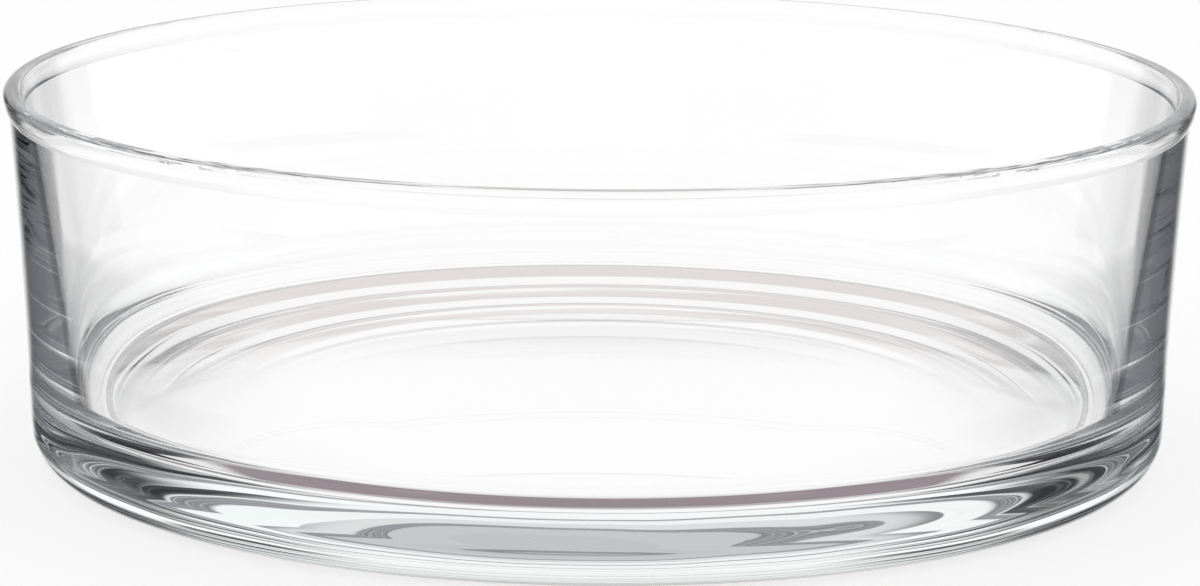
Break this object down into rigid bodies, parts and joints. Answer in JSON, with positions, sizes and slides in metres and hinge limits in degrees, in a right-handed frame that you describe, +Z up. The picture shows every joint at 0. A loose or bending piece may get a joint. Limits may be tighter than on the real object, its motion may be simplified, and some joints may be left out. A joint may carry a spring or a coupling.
{
  "type": "floating candle bowl",
  "caption": "Wide, low round bowl of clear pressed glass with a thick base, gently flaring wall and rounded rim band, for floating candles.",
  "frame": {"origin": "centre of the bowl on the surface that it stands on", "axes": "+Z up along the bowl's axis; it is round, so +X and +Y are any two level directions at right angles"},
  "size_m": [0.188, 0.188, 0.06],
  "materials": {
    "clear_glass": "fire-polished pressed soda-lime glass"
  },
  "bodies": {
    "root": {"glass_bowl": "clear_glass"}
  },
  "joints": []
}
